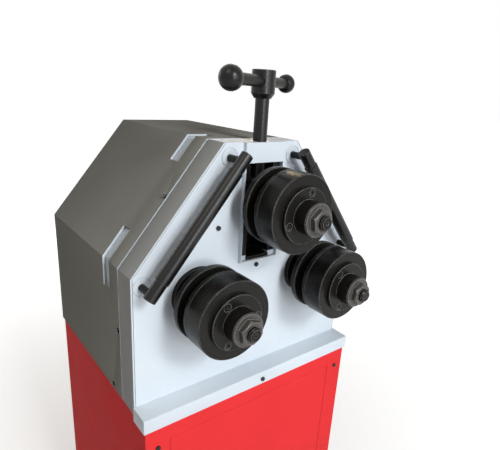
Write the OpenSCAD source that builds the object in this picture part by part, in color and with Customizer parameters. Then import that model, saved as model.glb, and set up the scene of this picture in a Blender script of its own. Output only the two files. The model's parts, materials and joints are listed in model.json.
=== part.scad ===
// Angle roll bender: a three-roller section bender on a sheet-metal cabinet.
// Z is up, the front faces -Y, and the origin is midway between the four floor bolts.

/* [Stand] */
// Width of the cabinet
stand_w = 483; // [470:1:510]
// Depth of the cabinet
stand_d = 430; // [415:1:460]
// Height of the carrier plate's top above the floor
stand_h = 632; // [600:1:760]
// Sheet thickness of the cabinet and the covers
sheet_t = 3; // [2:0.5:4]
// How far the floor frame sticks out at each side
floor_out = 40; // [34:1:60]
// Width of the floor frame's bars
floor_bar_w = 90; // [80:1:110]
// Thickness of the floor frame
floor_t = 8; // [6:1:12]
// Radius of the floor bolt holes
floor_hole_r = 7; // [5:0.5:9]
// Distance from the floor frame's edges to the bolt holes
floor_hole_edge = 20; // [16:1:24]
// Thickness of the carrier plate that the head stands on
carrier_t = 10; // [8:1:14]
// Height of the service panel in the cabinet's front
panel_h = 430; // [300:5:460]
// Distance from the cabinet's sides to the service panel
panel_side = 45; // [35:1:70]
// Distance from the front step down to the service panel
panel_drop = 32; // [24:1:60]
// Gap round the service panel
panel_gap = 0.8; // [0.5:0.1:1.5]
// Distance from the service panel's edges up or down to the screws beside it
panel_screw_in = 9; // [8:1:40]
// Height of the rear door
door_h = 470; // [350:5:500]
// Distance from the cabinet's sides to the rear door's opening
door_side = 52; // [46:1:70]
// Height of the rear door's opening above the floor
door_low = 80; // [50:5:110]

/* [Head] */
// How far the head is wider than the cabinet at each side
head_over = 2; // [1:0.5:4]
// Width of the head's flat top
head_top_w = 163; // [150:1:180]
// Height of the head's top above the lower roller axes
head_top = 253; // [248:1:270]
// Height of the head's shoulders above the lower roller axes
shoulder = 52.5; // [40:0.5:70]
// Depth from the lower roller axes down to the carrier plate
head_drop = 198; // [185:1:230]
// How far the front step reaches in front of the front plate
step_out = 41; // [36:1:60]
// Height of the front step
step_h = 27; // [22:1:32]
// How far the front step is lower than the carrier plate
step_drop = 10; // [8:1:10]
// How far the front step is wider than the head at each side
step_over = 1.5; // [0.5:0.5:4]
// Thickness of the front plate
plate_t = 20; // [18:1:24]
// Depth of the side bands behind the front plate's face
band_d = 47; // [44:1:56]
// Gap between the side bands and the hood
seam = 4; // [2:0.5:5]
// Distance from the front plate's face to the hood's back
hood_end = 400; // [390:1:430]
// Wall of the gear case
case_t = 4; // [3:0.5:6]
// Distance from the front plate's face to the gear case's end
case_end = 124; // [122:1:130]
// Thickness of the rear bearing plate
rear_plate_t = 20; // [18:1:24]
// Width of the slots in the hood
slot_w = 28; // [16:1:30]
// Distance from the front plate's face to the slots
slot_front = 87; // [82:1:90]
// Length of the upper slots on the head's top
slot_top = 40; // [30:1:50]
// Length of the upper slots on the slanted faces
slot_upper = 54; // [40:1:64]
// Length of the lower slots on the slanted faces
slot_lower = 63; // [40:1:70]
// Length of the lower slots on the upright sides
slot_side = 52; // [30:1:60]

/* [Rollers] */
// Distance between the lower roller axes
roller_spacing = 248; // [240:1:252]
// Height of the upper roller axis above the lower ones
upper_rise = 152; // [146:1:156]
// Radius of the roller discs
roller_r = 66; // [60:0.5:70]
// Radius of the spacer between the discs
spacer_r = 50; // [44:0.5:54]
// Distance from the front plate to the rearmost disc
disc_front = 36; // [33:0.5:42]
// Thickness of the rearmost disc
rear_disc_t = 11; // [8:0.5:14]
// Thickness of the spacer
spacer_t = 20; // [14:0.5:26]
// Thickness of the narrow ring
ring_t = 8; // [6:0.5:10]
// Thickness of the wide wheel
wheel_t = 36; // [28:0.5:42]
// Radius of the clamp hub's flange
flange_r = 46.5; // [44:0.5:50]
// Thickness of the clamp hub's flange
flange_t = 7; // [6:0.5:10]
// Radius of the clamp hub's boss
boss_r = 28; // [26:0.5:29]
// Length of the clamp hub's boss
boss_l = 24.5; // [18:0.5:32]
// Thickness of the washer
washer_t = 2.5; // [2:0.5:4]
// Width across the flats of the shaft nut
nut_af = 36; // [32:0.5:41]
// Thickness of the shaft nut
nut_t = 10.5; // [8:0.5:16]
// Length of thread in front of the nut
stub_l = 7; // [4:0.5:12]
// Radius of the roller shafts
shaft_r = 15; // [14:0.5:16]
// Radius of the thread on the roller shafts
thread_r = 12; // [10:0.5:13]
// Radius of the lower shafts where the gears and front bearings sit
journal_r = 17.5; // [17:0.5:19]
// Radius of the shaft collar behind the rearmost disc
collar_r = 24; // [22:0.5:27]
// Thickness of the shaft collar
collar_t = 8; // [6:0.5:10]
// Radius of the circle of hub screws
hub_screw_pitch = 38; // [36.5:0.5:38.5]
// Radius of the hub screws' heads
hub_screw_r = 6.2; // [5:0.1:6.6]

/* [Bearings] */
// Outer radius of the lower shafts' front bearings
front_bearing_r = 36; // [34:0.5:40]
// Outer radius of the lower shafts' rear bearings
rear_bearing_r = 31; // [28:0.5:35]
// Outer radius of the pinion's bearings
pinion_bearing_r = 26; // [24:0.5:28]
// Width of the bearings
bearing_w = 16; // [14:0.5:17]
// Radius of the front bearing caps
cap_r = 50; // [48:0.5:54]
// Thickness of the front bearing caps
cap_t = 10; // [8:0.5:12]
// Outer radius of the upper shaft's bush
bush_r = 19.5; // [18.5:0.5:21]

/* [Gears] */
// Module of the gears
gear_module = 4; // [3.95:0.05:4.1]
// Teeth of the shaft gears
gear_teeth = 48; // [48:1:49]
// Teeth of the drive pinion
pinion_teeth = 18; // [18:1:19]
// Width of the shaft gears
gear_w = 30; // [24:1:32]
// Distance from the front plate's face to the shaft gears
gear_front = 62; // [60:1:64]
// Play between the teeth, along the pitch circle
tooth_play = 0.35; // [0.25:0.05:0.6]
// Radius of the pinion shaft
pinion_shaft_r = 13; // [12:0.5:14]

/* [Slide] */
// Width of the slide channel
channel_w = 84; // [80:1:92]
// Wall of the slide channel
channel_wall = 2; // [2:0.5:4]
// How far the slide channel stands in front of the front plate
channel_out = 8; // [8:0.5:10]
// Height of the slide channel's bottom above the lower roller axes
channel_low = 41; // [38:0.5:42]
// Thickness of the slide channel's floor
channel_floor = 2.5; // [2:0.5:4]
// Depth of the slide channel behind the front plate's face
channel_d = 56; // [56:0.5:57]
// Width of the guide rails
rail_w = 14.5; // [12:0.5:16]
// Depth of the guide rails
rail_d = 40; // [34:1:41]
// Height of the nut bridge
bridge_h = 34; // [28:1:36]
// Depth of the nut bridge behind the front plate's face
bridge_d = 34; // [32:1:38]
// Height of the slide block above its shaft
block_up = 30; // [28:1:31]
// Depth of the slide block below its shaft
block_down = 36; // [30:1:38]
// Play between the slide block and its guides
slide_play = 0.1; // [0.05:0.05:0.2]

/* [Feed screw] */
// Radius of the feed screw
screw_r = 12; // [11:0.5:12.5]
// Distance from the front plate's face to the feed screw's axis
screw_back = 11.5; // [11:0.5:14]
// Gap between the head's top and the screw hub
hub_gap = 69.5; // [68:0.5:90]
// Radius of the screw hub
hub_r = 20; // [18:0.5:24]
// Height of the screw hub
hub_h = 45; // [40:0.5:55]
// Height of the handle bar above the hub's bottom
bar_rise = 27; // [22:0.5:30]
// Radius of the handle bar
bar_r = 9; // [7:0.5:10]
// Distance from the screw's axis to the ball knobs' centres
bar_half = 150; // [120:1:170]
// Radius of the ball knobs
ball_r = 17.5; // [15:0.5:20]
// Angle of the handle bar about the screw
bar_turn = 34; // [0:1:90]

/* [Guide bars] */
// Radius of the guide rods' ends
rod_r = 10.5; // [9:0.5:11.5]
// Radius of the guide rods inside the sleeves
rod_core_r = 8; // [6.5:0.5:8.5]
// Radius of the guide sleeves
sleeve_r = 12; // [11:0.5:13]
// Length of the guide rods
rod_l = 270; // [256:1:276]
// Distance from the rods' ends to the sleeves
sleeve_end = 33; // [28:1:45]
// How far the rods reach past the head's upper corners
rod_past = 2; // [0:0.5:6]
// Distance from the slanted edges to the rods
rod_inset = 25; // [22:0.5:30]
// Distance from the front plate's face to the rods
rod_out = 36; // [30:0.5:44]
// Radius of the posts that carry the rods
post_r = 6; // [5:0.25:7]
// Distance from the rods' upper ends to the upper posts
post_top = 13; // [10:0.5:16]
// Distance from the rods' lower ends to the lower posts
post_low = 8.5; // [8:0.5:14]

/* [Drive] */
// Radius of the motor
motor_r = 66; // [60:1:68]
// Length of the finned part of the motor
motor_l = 185; // [150:1:210]
// Length of the motor's fan cover
fan_l = 45; // [35:1:60]
// Distance between the pinion and the worm
worm_offset = 75; // [72:1:78]
// Depth of the reducer along the pinion
reducer_d = 110; // [104:1:116]
// Radius of the reducer's wheel housing
reducer_r = 62; // [58:1:64]

/* [Controls] */
// Height of the control box
control_h = 170; // [150:1:200]
// Width of the control box along the head
control_w = 130; // [110:1:150]
// How far the control box stands off the hood
control_out = 58; // [45:1:80]
// Distance from the front plate's face to the control box
control_back = 160; // [140:1:200]
// Depth of the control box's middle below the lower roller axes
control_drop = 60; // [50:1:70]
// Radius of the selector switch's knob
knob_r = 20; // [16:1:24]
// Radius of the stop button's head
stop_r = 20; // [16:1:24]
// Radius of the cable gland's bore
gland_bore_r = 6; // [4:0.5:7]

/* [Fasteners] */
// Radius of the cover screws' heads
head_r = 4.2; // [3.5:0.1:5]
// Height of the cover screws' heads
head_h = 3; // [2:0.5:4]
// Radius of the cover screws' shanks
shank_r = 2.5; // [2:0.1:3]
// Length of the cover screws' shanks
shank_l = 5.5; // [4.5:0.5:6]

/* [Hidden] */

// Colours
STAND_RED = [0.86, 0.16, 0.15];
LIGHT_GREY = [0.84, 0.87, 0.9];
COVER_GREY = [0.42, 0.41, 0.38];
BLACKENED = [0.1, 0.1, 0.09];
BRIGHT_STEEL = [0.62, 0.62, 0.62];
BRONZE = [0.66, 0.5, 0.25];
MOTOR_GREY = [0.35, 0.38, 0.42];

// Facets of the round parts: large, small and very small ones
FN_LARGE = 96;
FN = 48;
FN_SMALL = 32;

// Clearances: a turning fit, a fixed fit and a free passage
turn_fit = 0.05;
seat_fit = 0.03;
free_gap = 0.5;
// A cut runs this far past the face that it opens
past = 1;
// Angle between neighbours of a row of three
third = 120;

// The front plate's face, and the lower roller axes; the front step hangs round the cabinet's front wall
step_gap = 0.3;
face_y = -stand_d / 2 + step_out - sheet_t - step_gap;
axis_h = stand_h + head_drop;

// Outline of the head
head_half = stand_w / 2 + head_over;
top_half = head_top_w / 2;
slope = atan2(head_top - shoulder, head_half - top_half);
slant_l = norm([head_half - top_half, head_top - shoulder]);
low = -head_drop;
cover_gap = 0.5;
case_inset = sheet_t + cover_gap;
hood_start = band_d + seam;
rear_face = case_end - rear_plate_t;
fold_lap = 0.5;
pocket_over = 3;
pocket_d = 2.5;

// Slits in the hood's back
vent_count = 8;
vent_x = 85;
vent_l = 90;
vent_h = 6;
vent_step = 16;
vent_low = -100;

// Corners of the outline moved inwards by t, at one side
function top_x(t) = top_half - t * tan(slope / 2);
function shoulder_z(t) = shoulder - t * tan(45 - slope / 2);
function half_outline(t) =
    [[top_x(t), head_top - t], [head_half - t, shoulder_z(t)], [head_half - t, low]];
function mirrored(points) = [for (i = [len(points) - 1:-1:0]) [-points[i][0], points[i][1]]];
function outline(t) = concat(half_outline(t), mirrored(half_outline(t)));
// The same with the top at full height, where no cover lies over it
function flush_x(t) = top_half - t / sin(slope);
function half_flush(t) =
    [[flush_x(t), head_top], [head_half - t, shoulder_z(t)], [head_half - t, low]];
function flush_outline(t) = concat(half_flush(t), mirrored(half_flush(t)));
// A point of a slanted face, s along it from the upper corner and t inside it
function slant_point(s, t) = [
    top_half + s * cos(slope) - t * sin(slope),
    head_top - s * sin(slope) - t * cos(slope)
];

// Roller stack, as distances in front of the front plate's face
ring_front = disc_front + rear_disc_t + spacer_t;
wheel_front = ring_front + ring_t;
flange_front = wheel_front + wheel_t;
boss_front = flange_front + flange_t;
washer_front = boss_front + boss_l;
nut_front = washer_front + washer_t;
thread_front = nut_front + nut_t;
stub_front = thread_front + stub_l;
collar_front = disc_front - collar_t;
disc_chamfer = 1;
washer_r = boss_r - 1;
hub_hole_r = 4.1;
hub_shank_r = 4;
hub_sink = 5.5;
hub_shank_l = 12;
left_turn = 4;
right_turn = 7.5;
upper_turn = 79;
nut_crown = 3;
nut_land = 1.2;
stub_chamfer = 2.8;
mark_r = 2.5;
mark_d = 3;
left_nut_turn = 40;
right_nut_turn = 24;
upper_nut_turn = 39;

// Gear train
gear_centres = gear_module * (gear_teeth + pinion_teeth) / 2;
roller_half = roller_spacing / 2;
pinion_drop = sqrt(gear_centres * gear_centres - roller_half * roller_half);
pinion_angle = atan2(pinion_drop, roller_half);
pinion_front = gear_front - 2;
pinion_w = gear_w + 4;
pressure = 20;
flank_steps = 3;
key_w = 10;
key_h = 8;
key_l = gear_w - 4;
key_front = gear_front + (gear_w - key_l) / 2;
sleeve_wall = 5.5;
light_hole_r = 17;
light_hole_pitch = 58;
root_land = 0.2;

// Slide
channel_half = channel_w / 2;
channel_inner = channel_half - channel_wall;
rail_inner = channel_inner - rail_w;
bridge_low = head_top - bridge_h;
channel_top = channel_low + channel_floor;
foot_d = 12;
rail_low = channel_top + 8.5;
rail_high = bridge_low - 2;
stop_half = 24.5;
stop_out = 3;
stop_d = 38;
stop_block_h = 5.5;
guard_t = 2;
block_half = rail_inner - slide_play;
block_low = upper_rise - block_down;
block_high = upper_rise + block_up;
flange_half = channel_inner - 1.5;
flange_d = channel_out - slide_play;
keeper_t = 9;
keeper_in = 2;
keeper_back = rail_d + slide_play;
bush_front = collar_front - 0.5;
block_boss_r = 30;
upper_shaft_back = keeper_back + keeper_t + 5;
clip_t = 2;
clip_r = 18;

// Feed screw
pivot_r = 9;
pivot_l = 7;
thrust_r = 15;
thrust_t = 4.6;
thrust_cap_t = 4;
thrust_cap_half = 24;
hub_low = head_top + hub_gap;
hub_chamfer = 8;
hub_neck_r = 14.5;
bar_z = hub_low + bar_rise;
nut_r = 16;
nut_flange_r = 18;
nut_flange_t = 4;
ball_seat = 6;
ball_flat = 3;
hub_seat = 7;
hub_edge = 1;

// Posts and rods; a lower post sits at its rod's end, or at the last place for it on the front plate
post_edge = head_half - case_inset - post_r - free_gap;
post_limit = (post_edge - top_half + rod_inset * sin(slope)) / cos(slope);
post_s = [-rod_past + post_top, min(-rod_past + rod_l - post_low, post_limit)];
post_sink = 14;
post_groove_r = post_r + 8.6;
post_groove_w = 1.2;
rod_chamfer = 1;
sleeve_stop = post_s[1] + rod_past + post_low - sleeve_end;

// Drive
reducer_gap = 16;
reducer_front = case_end + reducer_gap;
reducer_back = reducer_front + reducer_d;
worm_y = reducer_front + reducer_d / 2;
worm_drop = 78;
worm_flange_z = -pinion_drop - worm_drop;
worm_flange_t = 14;
worm_r = 36;
reducer_neck_r = pinion_bearing_r + 14;
reducer_web = 50;
motor_top = worm_flange_z - worm_flange_t;
motor_low = motor_top - motor_l;
fan_low = motor_low - fan_l;
motor_hole_r = motor_r + 10;
terminal_top = low - carrier_t - 8;
terminal_h = 90;
terminal_w = 80;
terminal_out = 34;
fin_count = 32;
fin_h = 6;
fin_t = 2;
fin_root = motor_r - fin_h;
terminal_seat = fin_root - 4;

// Stand
ledge_w = 25;
stand_half = stand_w / 2;
stand_front = -stand_d / 2;
stand_back = stand_d / 2;
front_top = stand_h - step_drop + step_h - sheet_t - step_gap;
panel_half = stand_half - panel_side;
panel_top = stand_h - step_drop - panel_drop;
panel_low = panel_top - panel_h;
panel_lip = 12;
panel_strip = 34;
door_half = stand_half - door_side;
door_over = 10;
door_high = door_low + door_h;
door_rim_d = 12;
door_play = 2;
door_gap = 0.3;
pin_r = 3;
knuckle_r = 6;
knuckle_l = 24;
hinge_x = -door_half - door_over - 6;
hinge_y = stand_back + door_gap + knuckle_r;
hinge_inset = 70;
hinge_z = [door_low + hinge_inset, door_high - hinge_inset];
leaf_t = 2.5;
leaf_w = 26;
latch_x = door_half - 30;
latch_z = (door_low + door_high) / 2;
latch_r = 15;
latch_shaft_r = 6;
cam_l = 44;
cam_w = 12;
cam_t = 4;
cam_back = stand_back - door_rim_d - door_gap - cam_t;
latch_grip = [24, 6];
latch_grip_h = 4;
latch_h = 16;

// Control box
control_wall = 2.5;
control_mid_y = control_back + control_w / 2;
switch_z = -control_drop - control_h / 5;
stop_z = -control_drop + control_h / 5;
control_face = head_half + control_out;
gland_x = head_half + control_out / 2;
control_shaft_r = 8;
control_shaft_l = 20;
knob_h = 8;
pointer_w = 10;
pointer_h = 14;
pointer_up = knob_r * 1.2;
pointer_down = knob_r * 0.8;
stop_travel_gap = 6;
stop_head_h = 17.5;
stop_neck_r = stop_r * 0.7;
gland_r = gland_bore_r + 4;
gland_af_r = gland_r + 4;
gland_out = 14;
gland_in = 8;
gland_z = -control_drop - control_h / 2 + 30;

// Cover screws: places on the front plate, the step, the covers, the service panel and the back
socket_share = 0.52;
plate_screw_gap = 45;
plate_screw_side = channel_half + plate_screw_gap;
plate_screw_z = upper_rise - 40;
plate_screw_drop = 11.3;
plate_screws = [
    [0, channel_low - plate_screw_drop],
    [-plate_screw_side, plate_screw_z],
    [plate_screw_side, plate_screw_z]
];
step_screw_x = 2;
step_screw_z = low - step_drop + step_h * 0.4;
hood_screw_y = hood_start + 5;
hood_screw_z = -62;
hood_low_screw_y = hood_start + 37;
hood_low_screw_z = low + 10;
slant_screw_s = slant_l * 0.46;
back_screw_x = head_half - 25;
back_screw_z = [low + 25, shoulder - 20];
cap_screw_pitch = (front_bearing_r + cap_r) / 2;
cap_screw_r = 3.4;
cap_screw_h = 4;
cap_shank_l = cap_t + 8;

// Placing
module on_head() { translate([0, face_y, axis_h]) children(); }
module on_left() { on_head() translate([-roller_half, 0, 0]) children(); }
module on_right() { on_head() translate([roller_half, 0, 0]) children(); }
module on_upper() { on_head() translate([0, 0, upper_rise]) children(); }
module on_screw() { on_head() translate([0, screw_back, 0]) children(); }
module on_pinion() { on_head() translate([0, 0, -pinion_drop]) children(); }
module both_sides() {
    children();
    mirror([1, 0, 0]) children();
}

// A box between two corners
module block(a, b) { translate(a) cube(b - a); }
// A flat shape in the X-Z plane, thickened from y0 to y1
module slab(y0, y1) { translate([0, y1, 0]) rotate([90, 0, 0]) linear_extrude(y1 - y0) children(); }
// A turned piece about Y; its profile has points [radius, distance to the front]
module turned(profile, fn = FN_LARGE) {
    rotate([90, 0, 0]) rotate_extrude($fn = fn) polygon(profile);
}
// A round hole along Y, from front distance a back to front distance b
module hole_y(r, a, b, fn = FN) {
    rotate([90, 0, 0]) translate([0, 0, b]) cylinder(h = a - b, r = r, $fn = fn);
}
// A ring about Z
module ring_z(r_in, r_out, z0, z1, fn = FN) {
    rotate_extrude($fn = fn) polygon([[r_in, z0], [r_out, z0], [r_out, z1], [r_in, z1]]);
}
// A disc about Y with chamfered rims
function disc_profile(bore, r, a, t, c) =
    [[bore, a], [r - c, a], [r, a + c], [r, a + t - c], [r - c, a + t], [bore, a + t]];

// Fasteners
module socket_screw(r, h, shank, length) {
    difference() {
        union() {
            cylinder(h = h, r = r, $fn = FN_SMALL);
            translate([0, 0, -length]) cylinder(h = length, r = shank, $fn = FN_SMALL);
        }
        translate([0, 0, h / 2]) cylinder(h = h, r = r * socket_share, $fn = 6);
    }
}
module cover_screw() { socket_screw(head_r, head_h, shank_r, shank_l); }
module screw_hole(length = shank_l) {
    translate([0, 0, -length - past])
        cylinder(h = length + 2 * past, r = shank_r + turn_fit, $fn = FN_SMALL);
}
module facing_front(x, y, z) { translate([x, y, z]) rotate([90, 0, 0]) children(); }
module facing_back(x, y, z) { translate([x, y, z]) rotate([-90, 0, 0]) children(); }
module facing_right(x, y, z) { translate([x, y, z]) rotate([0, 90, 0]) children(); }
// On the right-hand slanted face, s from its upper corner
module facing_slant(s, y) {
    p = slant_point(s, 0);
    translate([p[0], y, p[1]]) rotate([0, slope, 0]) children();
}
module plate_screw_places() { for (p = plate_screws) facing_front(p[0], 0, p[1]) children(); }
module hood_screw_places() {
    both_sides() {
        facing_right(head_half, hood_screw_y, hood_screw_z) children();
        facing_right(head_half, hood_low_screw_y, hood_low_screw_z) children();
        facing_slant(slant_screw_s, hood_screw_y) children();
    }
}
module back_screw_places() {
    for (x = [-back_screw_x, back_screw_x], z = back_screw_z) facing_back(x, hood_end, z) children();
}
module panel_screw_places() {
    for (x = [-1, 1], z = [panel_low + panel_screw_in, panel_top - panel_screw_in])
        facing_front(x * (panel_half + stand_half) / 2, stand_front, z) children();
}
module step_screw_place() { facing_front(step_screw_x, -step_out, step_screw_z) children(); }
module cap_screw_places() {
    for (a = [45:90:315])
        rotate([0, a, 0]) translate([0, 0, cap_screw_pitch]) facing_front(0, -cap_t, 0) children();
}

// Stand
module base_frame() {
    color(BLACKENED) difference() {
        block([-stand_half - floor_out, stand_front, 0], [stand_half + floor_out, stand_back, floor_t]);
        block(
            [-stand_half - floor_out + floor_bar_w, stand_front + floor_bar_w, -past],
            [stand_half + floor_out - floor_bar_w, stand_back - floor_bar_w, floor_t + past]
        );
        for (x = [-1, 1], y = [-1, 1])
            translate([
                x * (stand_half + floor_out - floor_hole_edge), y * (stand_back - floor_hole_edge), -past
            ]) cylinder(h = floor_t + 2 * past, r = floor_hole_r, $fn = FN);
    }
}

module stand_shell() {
    color(STAND_RED) difference() {
        union() {
            difference() {
                block([-stand_half, stand_front, floor_t], [stand_half, stand_back, front_top]);
                block(
                    [-stand_half + sheet_t, stand_front + sheet_t, floor_t - past],
                    [stand_half - sheet_t, stand_back - sheet_t, front_top + past]
                );
                block(
                    [-stand_half - past, stand_front + sheet_t, stand_h],
                    [stand_half + past, stand_back + past, front_top + past]
                );
                block(
                    [-panel_half, stand_front - past, panel_low],
                    [panel_half, stand_front + sheet_t + past, panel_top]
                );
                block(
                    [-door_half, stand_back - sheet_t - past, door_low],
                    [door_half, stand_back + past, door_high]
                );
            }
            panel_frame();
            carrier_ledges();
        }
        panel_screw_places() screw_hole();
        on_head() step_screw_place() screw_hole(2 * shank_l);
    }
}
// The strip behind the service panel that it rests on
module panel_frame() {
    y0 = stand_front + sheet_t;
    difference() {
        block(
            [-panel_half - panel_strip, y0, panel_low - panel_lip],
            [panel_half + panel_strip, y0 + sheet_t, panel_top + panel_lip]
        );
        block(
            [-panel_half + panel_lip, y0 - past, panel_low + panel_lip],
            [panel_half - panel_lip, y0 + sheet_t + past, panel_top - panel_lip]
        );
    }
}
// Strips under the carrier plate at the sides and the back
module carrier_ledges() {
    top = stand_h - carrier_t;
    both_sides() block(
        [stand_half - sheet_t - ledge_w, stand_front + sheet_t, top - sheet_t],
        [stand_half - sheet_t, stand_back - sheet_t, top]
    );
}

module carrier_plate() {
    color(BLACKENED) difference() {
        block(
            [-stand_half + sheet_t, stand_front + sheet_t, stand_h - carrier_t],
            [stand_half - sheet_t, stand_back - sheet_t, stand_h]
        );
        translate([worm_offset, face_y + worm_y, stand_h - carrier_t - past])
            cylinder(h = carrier_t + 2 * past, r = motor_hole_r, $fn = FN_LARGE);
    }
}

module service_panel() {
    color(STAND_RED)
        block(
            [-panel_half + panel_gap, stand_front, panel_low + panel_gap],
            [panel_half - panel_gap, stand_front + sheet_t, panel_top - panel_gap]
        );
}

module stand_door() {
    rim = door_half - door_play;
    face = stand_back + door_gap;
    color(STAND_RED) difference() {
        union() {
            block(
                [-door_half - door_over, face, door_low - door_over],
                [door_half + door_over, face + sheet_t, door_high + door_over]
            );
            difference() {
                block(
                    [-rim, stand_back - door_rim_d, door_low + door_play],
                    [rim, face, door_high - door_play]
                );
                block(
                    [-rim + sheet_t, stand_back - door_rim_d - past, door_low + door_play + sheet_t],
                    [rim - sheet_t, face, door_high - door_play - sheet_t]
                );
            }
            for (z = hinge_z) {
                translate([hinge_x, hinge_y, z]) cylinder(h = knuckle_l, r = knuckle_r, $fn = FN);
                block([hinge_x, face, z], [hinge_x + leaf_w, face + leaf_t, z + knuckle_l]);
            }
        }
        for (z = hinge_z)
            translate([hinge_x, hinge_y, z - past])
                cylinder(h = knuckle_l + 2 * past, r = pin_r + turn_fit, $fn = FN);
        translate([latch_x, stand_back, latch_z])
            hole_y(latch_shaft_r + turn_fit, door_rim_d, -sheet_t - door_gap - past);
    }
}

// Fixed knuckles below the door's, with the pins that run up through both
module door_hinges() {
    color(BRIGHT_STEEL) for (z = hinge_z) {
        translate([hinge_x, hinge_y, z - knuckle_l - turn_fit]) {
            cylinder(h = knuckle_l, r = knuckle_r, $fn = FN);
            cylinder(h = 2 * knuckle_l, r = pin_r, $fn = FN);
        }
        block(
            [hinge_x - leaf_w, stand_back, z - knuckle_l - turn_fit],
            [hinge_x, stand_back + leaf_t, z - turn_fit]
        );
    }
}

// Turning knob, its shaft through the door, and the cam that locks behind the cabinet's edge
module door_latch() {
    face = stand_back + door_gap + sheet_t;
    color(BLACKENED) translate([latch_x, 0, latch_z]) {
        translate([0, face, 0]) turned([[0, -latch_h], [latch_r, -latch_h], [latch_r, 0], [0, 0]], FN);
        slab(cam_back, face) circle(r = latch_shaft_r, $fn = FN);
        slab(cam_back, cam_back + cam_t) translate([-cam_w / 2, -cam_l + cam_w / 2]) square([cam_w, cam_l]);
        slab(face + latch_h, face + latch_h + latch_grip_h) square(latch_grip, center = true);
    }
}

// Head
module front_step() {
    half = head_half + step_over;
    base = low - step_drop;
    color(LIGHT_GREY) on_head() difference() {
        block([-half, -step_out, base], [half, 0, base + step_h]);
        block(
            [-half + sheet_t, -step_out + sheet_t, base - past],
            [half - sheet_t, past, base + step_h - sheet_t]
        );
        step_screw_place() screw_hole();
    }
}

module front_plate() {
    color(LIGHT_GREY) on_head() difference() {
        slab(0, plate_t) polygon(flush_outline(case_inset));
        block([-channel_half, -past, channel_low], [channel_half, plate_t + past, head_top + past]);
        both_sides() {
            translate([roller_half, 0, 0]) {
                hole_y(front_bearing_r + seat_fit, past, -plate_t - past, FN_LARGE);
                cap_screw_places() screw_hole(cap_shank_l);
            }
            for (s = post_s) let (p = slant_point(s, rod_inset)) translate([p[0], 0, p[1]]) {
                hole_y(post_r + seat_fit, past, -post_sink);
                turned([
                    [post_groove_r, -post_groove_w], [post_groove_r + post_groove_w, -post_groove_w],
                    [post_groove_r + post_groove_w, past], [post_groove_r, past]
                ], FN);
            }
        }
        translate([0, 0, -pinion_drop])
            hole_y(pinion_bearing_r + seat_fit, -plate_t + bearing_w, -plate_t - past, FN_LARGE);
        plate_screw_places() screw_hole();
    }
}

module side_bands() {
    color(COVER_GREY) on_head() both_sides() slab(0, band_d) polygon([
        [top_half, head_top], [head_half, shoulder], [head_half, low],
        [head_half - sheet_t, low], [head_half - sheet_t, shoulder_z(sheet_t)], [flush_x(sheet_t), head_top]
    ]);
}

// Wrapper between the front plate and the rear bearing plate; light metal shows in the seam and the slots
module gear_case() {
    inner = case_inset + case_t;
    color(LIGHT_GREY) on_head() difference() {
        union() {
            slab(plate_t, band_d - 2) polygon(flush_outline(case_inset));
            slab(plate_t, case_end) polygon(outline(case_inset));
        }
        slab(plate_t - past, case_end + past) polygon(concat(
            half_outline(inner), [[head_half - inner, low - past], [-head_half + inner, low - past]],
            mirrored(half_outline(inner))
        ));
        block(
            [-channel_half, plate_t - past, bridge_low],
            [channel_half, bridge_d, head_top + past]
        );
        hood_screw_places() screw_hole();
        hood_slots(pocket_over, case_inset + pocket_d);
    }
}

module rear_plate() {
    color(LIGHT_GREY) on_head() difference() {
        slab(rear_face, case_end) polygon(outline(case_inset + case_t));
        both_sides() translate([roller_half, 0, 0])
            hole_y(rear_bearing_r + seat_fit, -rear_face + past, -case_end - past, FN_LARGE);
        translate([0, 0, -pinion_drop])
            hole_y(pinion_bearing_r + seat_fit, -rear_face + past, -case_end - past, FN_LARGE);
    }
}

module hood() {
    color(COVER_GREY) on_head() difference() {
        slab(hood_start, hood_end) polygon(outline(0));
        slab(hood_start - past, hood_end - sheet_t) polygon(concat(
            half_outline(sheet_t), [[head_half - sheet_t, low - past], [-head_half + sheet_t, low - past]],
            mirrored(half_outline(sheet_t))
        ));
        hood_slots(0, sheet_t + cover_gap / 2);
        for (i = [0:vent_count - 1], x = [-vent_x, vent_x])
            block(
                [x - vent_l / 2, hood_end - sheet_t - past, vent_low + vent_step * i],
                [x + vent_l / 2, hood_end + past, vent_low + vent_step * i + vent_h]
            );
        hood_screw_places() screw_hole();
        back_screw_places() screw_hole();
    }
}
// The slots over the folded edges, the upper one on the left only; over makes them larger all round, deep is
// their depth
module hood_slots(over, deep) {
    mirror([1, 0, 0]) translate([top_half, 0, head_top])
        corner_slot(0, slope, slot_top, slot_upper, over, deep);
    both_sides() translate([head_half, 0, shoulder]) corner_slot(slope, 90, slot_lower, slot_side, over, deep);
}
// A slot over a folded edge between faces that slope by angles a and b, and its lengths on them
module corner_slot(a, b, on_a, on_b, over, deep) {
    y0 = slot_front - over;
    y1 = slot_front + slot_w + over;
    rotate([0, a, 0]) block([-on_a - over, y0, -deep], [fold_lap, y1, past]);
    rotate([0, b, 0]) block([-fold_lap, y0, -deep], [on_b + over, y1, past]);
}

// Slide channel with a foot under each rail, and feed nut
module slide_channel() {
    color(LIGHT_GREY) on_head() {
        difference() {
            block([-channel_half, -channel_out, channel_low], [channel_half, channel_d, bridge_low]);
            block(
                [-channel_inner, -channel_out - past, channel_top],
                [channel_inner, channel_d + past, bridge_low + past]
            );
        }
        both_sides() block(
            [rail_inner, 0, channel_top + seat_fit],
            [channel_inner - seat_fit, foot_d, rail_low - seat_fit]
        );
    }
}

// Rails, the stop block between them on the channel's floor, and the chip guard behind the channel
module guide_rails() {
    color(BLACKENED) on_head() {
        both_sides() block([rail_inner, 0, rail_low], [channel_inner, rail_d, rail_high]);
        block([-stop_half, -stop_out, channel_top], [stop_half, stop_d, channel_top + stop_block_h]);
        block([-channel_half, channel_d, channel_low], [channel_half, channel_d + guard_t, bridge_low]);
    }
}

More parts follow.
